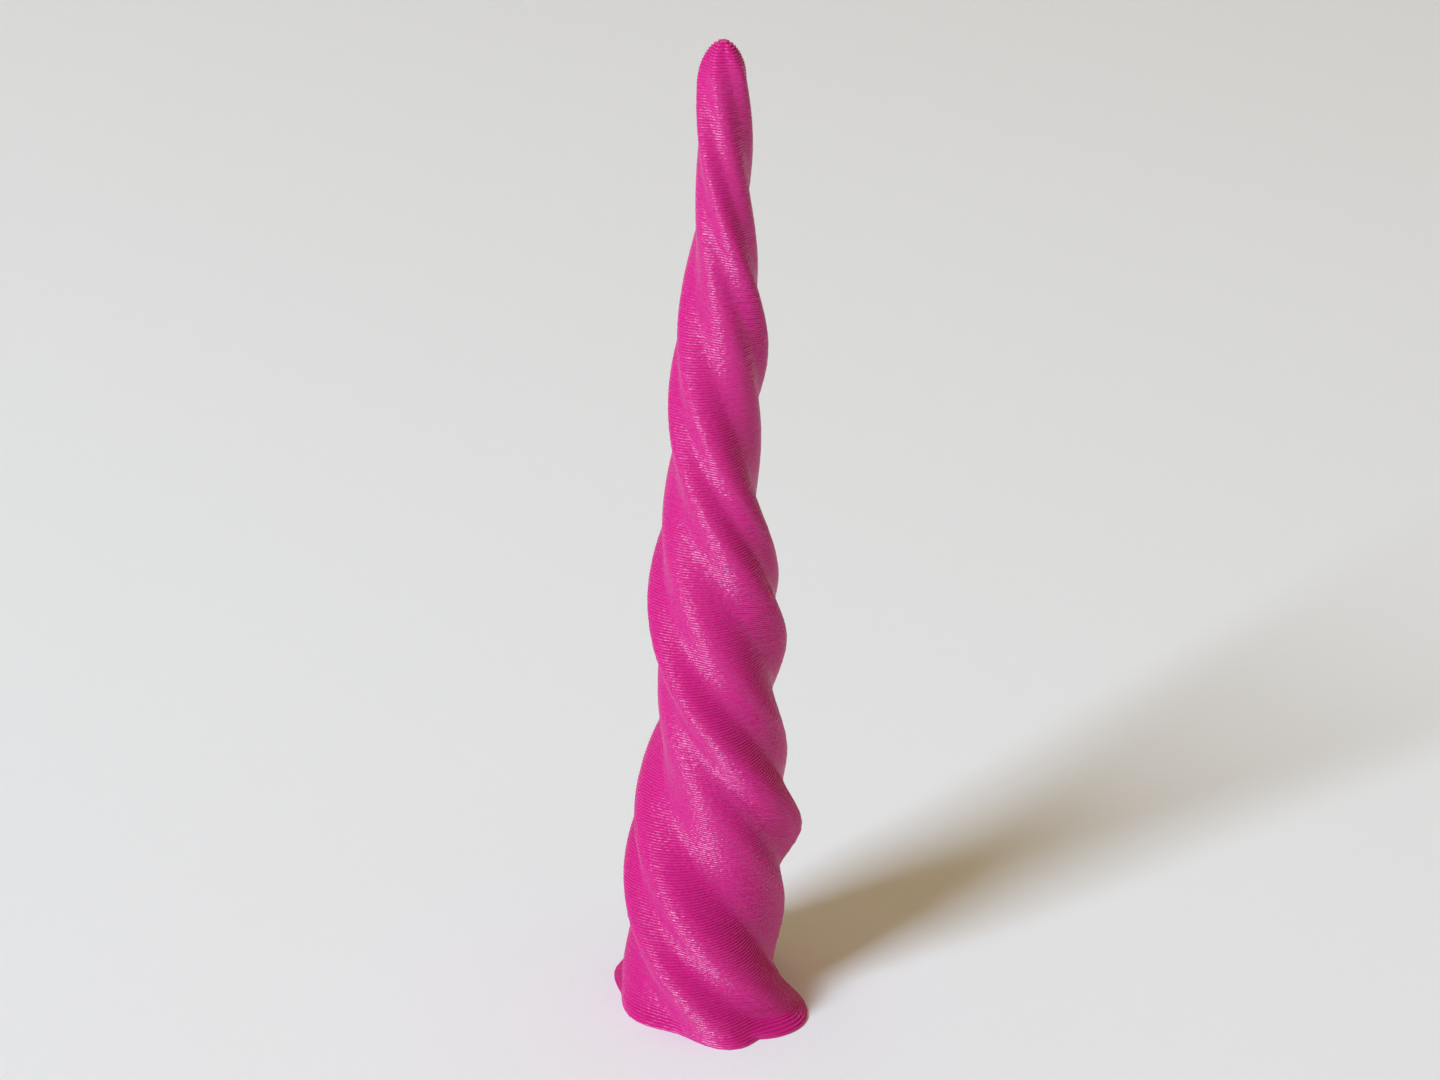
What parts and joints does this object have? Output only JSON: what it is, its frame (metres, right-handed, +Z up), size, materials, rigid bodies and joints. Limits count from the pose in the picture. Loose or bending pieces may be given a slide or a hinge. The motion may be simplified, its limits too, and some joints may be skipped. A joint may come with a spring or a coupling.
{
  "type": "narwhal tusk model",
  "caption": "Tapering, left-hand twisted narwhal tusk in magenta printed plastic, with rounded ridges, a domed tip and a slightly spread flat foot it stands on",
  "frame": {"origin": "where the twist axis meets the flat base that the tusk stands on", "axes": "+Z runs up the twist axis to the tip, -Y faces the viewer of the picture, and +X is to that viewer's right"},
  "size_m": [0.0199, 0.0204, 0.1],
  "materials": {
    "magenta_plastic": "satin printed plastic with fine level layer lines"
  },
  "bodies": {
    "root": {"tusk": "magenta_plastic"}
  },
  "joints": []
}
